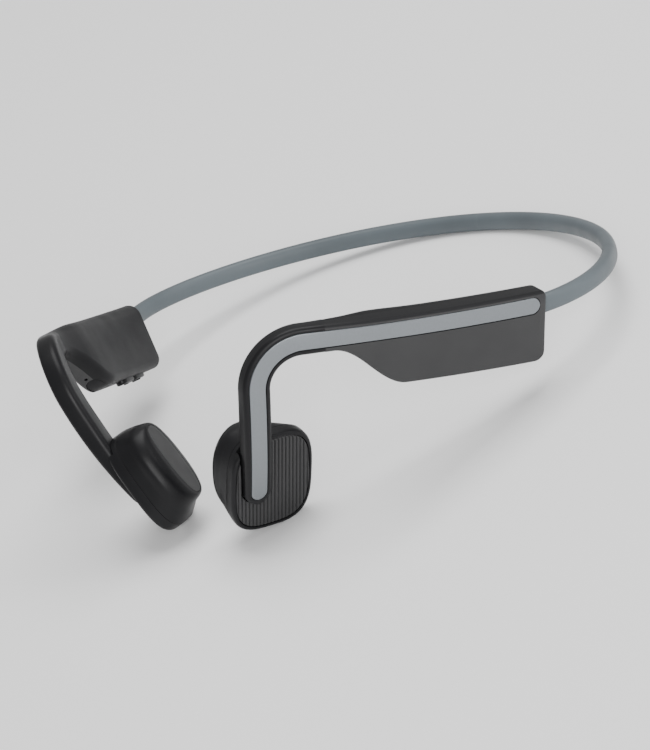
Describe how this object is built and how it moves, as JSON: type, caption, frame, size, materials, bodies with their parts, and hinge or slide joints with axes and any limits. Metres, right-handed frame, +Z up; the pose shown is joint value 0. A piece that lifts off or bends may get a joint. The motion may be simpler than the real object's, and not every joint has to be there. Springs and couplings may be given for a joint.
{
  "type": "bone conduction headphones",
  "caption": "Open-ear bone conduction headphones: neckband, two side pods, ear hooks with trim strips, ribbed transducers with cheek pads",
  "frame": {"origin": "on the surface the headphones stand on, under the centre of their box; they rest on both transducers and on the rear of the neckband", "axes": "+X to the wearer's left, -Y to the front (the transducer end), +Z up"},
  "size_m": [0.1422, 0.1325, 0.0496],
  "materials": {
    "pod_plastic": "fine matte",
    "pod_inner_plastic": "satin",
    "soft_touch": "soft touch satin",
    "strip_metal": "satin grey",
    "band_silicone": "matte silicone",
    "pad_silicone": "matte silicone",
    "steel": "satin",
    "copper": "enamelled",
    "ribbed_plastic": "matte ribbed",
    "cell_foil": "foil",
    "board": "solder mask",
    "chip": "moulded",
    "ceramic": "ceramic",
    "cover_silicone": "matte",
    "key_rubber": "satin",
    "brass_can": "plated",
    "light_pipe": "clear"
  },
  "bodies": {
    "neckband": {"neckband_sleeve": "band_silicone", "neckband_core_wire": "steel", "neckband_lead": "copper"},
    "left_side": {"left_pod_outer_shell": "pod_plastic", "left_pod_inner_shell": "pod_inner_plastic", "left_wire_anchor": "steel", "left_ear_hook": "soft_touch", "left_trim_strip": "strip_metal", "left_hook_wire": "steel", "left_hook_lead": "copper", "left_driver_rim": "soft_touch", "left_driver_housing": "soft_touch", "left_contact_pad": "pad_silicone", "left_spring_plate": "steel", "left_voice_coil": "copper", "battery_cell": "cell_foil", "button_frame": "soft_touch", "button_switch": "steel"},
    "right_side": {"right_pod_outer_shell": "pod_plastic", "right_pod_inner_shell": "pod_inner_plastic", "right_wire_anchor": "steel", "right_ear_hook": "soft_touch", "right_trim_strip": "strip_metal", "right_hook_wire": "steel", "right_hook_lead": "copper", "right_driver_rim": "soft_touch", "right_driver_housing": "soft_touch", "right_contact_pad": "pad_silicone", "right_spring_plate": "steel", "right_voice_coil": "copper", "right_ribbed_cover": "ribbed_plastic", "right_cover_frame": "soft_touch", "main_board": "board", "bluetooth_chip": "chip", "antenna": "ceramic", "usb_c_port": "steel", "volume_up_switch": "steel", "volume_down_switch": "steel", "microphone": "brass_can", "status_light": "light_pipe"},
    "left_driver": {"left_yoke": "steel", "left_magnet": "steel"},
    "right_driver": {"right_yoke": "steel", "right_magnet": "steel"},
    "multifunction_button": {"multifunction_button": "ribbed_plastic"},
    "volume_up_key": {"volume_up_key": "key_rubber"},
    "volume_down_key": {"volume_down_key": "key_rubber"},
    "port_cover": {"port_cover": "cover_silicone"}
  },
  "joints": [
    {"name": "left_flex", "type": "hinge", "parent": "neckband", "child": "left_side", "pos_m": [0.03, 0.054, 0.00492], "axis": [0, 0.2558, 0.9667], "range_deg": [-2, 30], "stiffness_Nm_per_rad": 0.15, "deforming": ["neckband_sleeve", "neckband_core_wire", "neckband_lead"]},
    {"name": "right_flex", "type": "hinge", "parent": "neckband", "child": "right_side", "pos_m": [-0.03, 0.054, 0.00492], "axis": [0, -0.2558, -0.9667], "range_deg": [-2, 30], "stiffness_Nm_per_rad": 0.15, "deforming": ["neckband_sleeve", "neckband_core_wire", "neckband_lead"]},
    {"name": "multifunction_press", "type": "slide", "parent": "left_side", "child": "multifunction_button", "axis": [-0.8257, 0.4825, 0.2924], "range_m": [0, 0.00035], "stiffness_N_per_m": 1500},
    {"name": "left_driver_travel", "type": "slide", "parent": "left_side", "child": "left_driver", "axis": [0.8257, -0.4825, -0.2924], "range_m": [-0.0001, 0.0001], "stiffness_N_per_m": 400, "deforming": ["left_spring_plate"]},
    {"name": "right_driver_travel", "type": "slide", "parent": "right_side", "child": "right_driver", "axis": [-0.8257, -0.4825, -0.2924], "range_m": [-0.0001, 0.0001], "stiffness_N_per_m": 400, "deforming": ["right_spring_plate"]},
    {"name": "volume_up_press", "type": "slide", "parent": "right_side", "child": "volume_up_key", "axis": [-0.296, 0.3225, 0.8991], "range_m": [0, 0.0004], "stiffness_N_per_m": 1000},
    {"name": "volume_down_press", "type": "slide", "parent": "right_side", "child": "volume_down_key", "axis": [-0.3136, 0.3132, 0.8964], "range_m": [0, 0.0004], "stiffness_N_per_m": 1000},
    {"name": "port_cover_hinge", "type": "hinge", "parent": "right_side", "child": "port_cover", "pos_m": [-0.05007, -0.02739, 0.02032], "axis": [0.8456, 0.513, 0.1479], "range_deg": [0, 100]}
  ]
}
